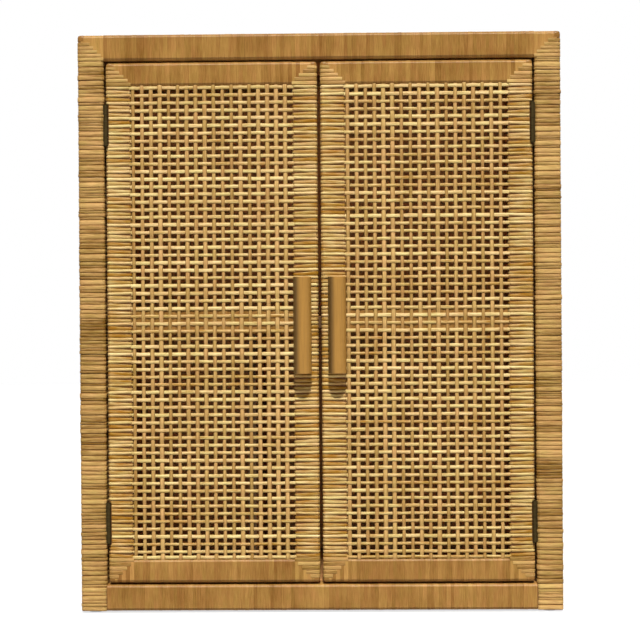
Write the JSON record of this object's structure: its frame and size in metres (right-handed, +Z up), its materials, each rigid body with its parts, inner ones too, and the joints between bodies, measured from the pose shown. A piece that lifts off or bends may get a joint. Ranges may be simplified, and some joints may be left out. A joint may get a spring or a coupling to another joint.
{
  "type": "record cabinet",
  "caption": "Free-standing cane-wound record cabinet with hinged woven-cane doors, wooden pulls, an inner shelf and upright record bays.",
  "frame": {"origin": "on the floor, at the middle of the overall box", "axes": "+X to the right seen from the front, +Y from the front to the back, +Z up; the doors face -Y"},
  "size_m": [0.762, 0.4307, 0.9144],
  "materials": {
    "wound_cane": "split cane, lacquered satin",
    "woven_cane": "woven split cane, lacquered satin",
    "frame_wood": "sawn hardwood, unfinished under the cane",
    "stained_plywood": "stained brown, satin",
    "pull_wood": "turned pole, honey brown satin lacquer",
    "aged_brass": "aged, dark",
    "bright_brass": "turned",
    "steel": "zinc plated",
    "brown_plastic": "moulded"
  },
  "bodies": {
    "cabinet": {"back_bottom_rail": "frame_wood", "back_left_post": "frame_wood", "back_panel": "stained_plywood", "back_right_post": "frame_wood", "back_screws": "steel", "back_top_rail": "frame_wood", "bottom_panel": "stained_plywood", "catch_screws": "steel", "floor_glides": "steel", "front_bottom_rail": "frame_wood", "front_left_post": "frame_wood", "front_right_post": "frame_wood", "front_top_rail": "frame_wood", "hinge_pins": "aged_brass", "left_bottom_rail": "frame_wood", "left_liner": "stained_plywood", "left_side_cane": "woven_cane", "left_top_rail": "frame_wood", "liner_screws": "steel", "magnetic_catches": "brown_plastic", "panel_battens": "frame_wood", "post_cane": "wound_cane", "post_hinge_leaves": "aged_brass", "post_hinge_screws": "aged_brass", "rail_cane": "wound_cane", "record_dividers": "stained_plywood", "right_bottom_rail": "frame_wood", "right_liner": "stained_plywood", "right_side_cane": "woven_cane", "right_top_rail": "frame_wood", "shelf": "stained_plywood", "shelf_pins": "bright_brass", "side_rail_cane": "wound_cane", "top_cane": "wound_cane", "top_panel": "stained_plywood"},
    "left_door": {"left_door_bottom_rail": "frame_wood", "left_door_cane": "woven_cane", "left_door_middle_rail": "frame_wood", "left_door_top_rail": "frame_wood", "left_door_winding": "wound_cane", "left_free_stile": "frame_wood", "left_hinge_leaves": "aged_brass", "left_hinge_screws": "aged_brass", "left_hinge_stile": "frame_wood", "left_pull": "pull_wood", "left_pull_screws": "steel", "left_strike_plate": "steel"},
    "right_door": {"right_door_bottom_rail": "frame_wood", "right_door_cane": "woven_cane", "right_door_middle_rail": "frame_wood", "right_door_top_rail": "frame_wood", "right_door_winding": "wound_cane", "right_free_stile": "frame_wood", "right_hinge_leaves": "aged_brass", "right_hinge_screws": "aged_brass", "right_hinge_stile": "frame_wood", "right_pull": "pull_wood", "right_pull_screws": "steel", "right_strike_plate": "steel"}
  },
  "joints": [
    {"name": "left_door_swing", "type": "hinge", "parent": "cabinet", "child": "left_door", "pos_m": [-0.3361, -0.19205, 0.4587], "axis": [0, 0, -1], "range_deg": [0, 170]},
    {"name": "right_door_swing", "type": "hinge", "parent": "cabinet", "child": "right_door", "pos_m": [0.3361, -0.19205, 0.4587], "axis": [0, 0, 1], "range_deg": [0, 170]}
  ]
}
